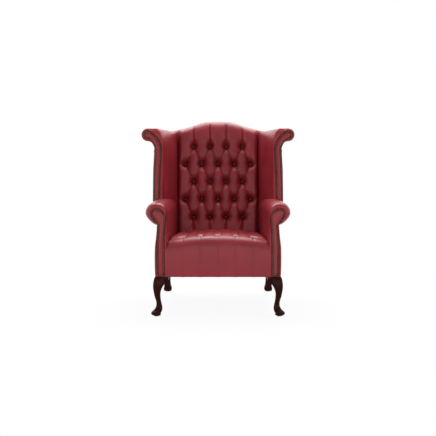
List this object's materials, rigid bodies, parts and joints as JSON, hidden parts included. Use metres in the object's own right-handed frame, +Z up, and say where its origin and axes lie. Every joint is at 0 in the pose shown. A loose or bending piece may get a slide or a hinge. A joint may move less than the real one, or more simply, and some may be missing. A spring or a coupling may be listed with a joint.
{
  "type": "button-back wing armchair",
  "caption": "Leather wing armchair with a deep-buttoned back, buttoned seat, scrolled wings and arms, nail trim and cabriole front legs.",
  "frame": {"origin": "centre of the chair's footprint box on the floor", "axes": "+X to the right as seen from the front, +Y to the rear of the chair, +Z up; left and right in names are as seen from the front"},
  "size_m": [0.868, 0.8538, 1.055],
  "materials": {
    "red_leather": "fine grained, semi-matt",
    "button_leather": "fine grained, semi-matt",
    "antique_brass": "antiqued",
    "dark_mahogany": "polished",
    "frame_beech": "planed",
    "spring_steel": "oiled",
    "hessian": "woven",
    "webbing": "woven",
    "black_cloth": "woven",
    "dark_nylon": "matt"
  },
  "bodies": {
    "root": {"back_buttons": "button_leather", "back_pad": "red_leather", "back_webbing": "webbing", "corner_blocks": "frame_beech", "crest_rail": "frame_beech", "dust_cover": "black_cloth", "foot_glides": "dark_nylon", "front_seat_rail": "frame_beech", "knee_blocks": "dark_mahogany", "left_arm_facing": "red_leather", "left_arm_nails": "antique_brass", "left_arm_pad": "red_leather", "left_arm_post": "frame_beech", "left_arm_rail": "frame_beech", "left_back_post": "frame_beech", "left_front_leg": "dark_mahogany", "left_outside_arm_panel": "red_leather", "left_outside_wing_panel": "red_leather", "left_rear_leg": "dark_mahogany", "left_seat_rail": "frame_beech", "left_wing_board": "frame_beech", "left_wing_facing": "red_leather", "left_wing_nails": "antique_brass", "left_wing_pad": "red_leather", "left_wing_rail": "frame_beech", "leg_bolts": "spring_steel", "lower_back_rail": "frame_beech", "outside_back_panel": "red_leather", "rear_seat_rail": "frame_beech", "right_arm_facing": "red_leather", "right_arm_nails": "antique_brass", "right_arm_pad": "red_leather", "right_arm_post": "frame_beech", "right_arm_rail": "frame_beech", "right_back_post": "frame_beech", "right_front_leg": "dark_mahogany", "right_outside_arm_panel": "red_leather", "right_outside_wing_panel": "red_leather", "right_rear_leg": "dark_mahogany", "right_seat_rail": "frame_beech", "right_wing_board": "frame_beech", "right_wing_facing": "red_leather", "right_wing_nails": "antique_brass", "right_wing_pad": "red_leather", "right_wing_rail": "frame_beech", "seat_buttons": "button_leather", "seat_hessian": "hessian", "seat_pad": "red_leather", "seat_springs": "spring_steel", "spring_clips": "spring_steel"}
  },
  "joints": []
}
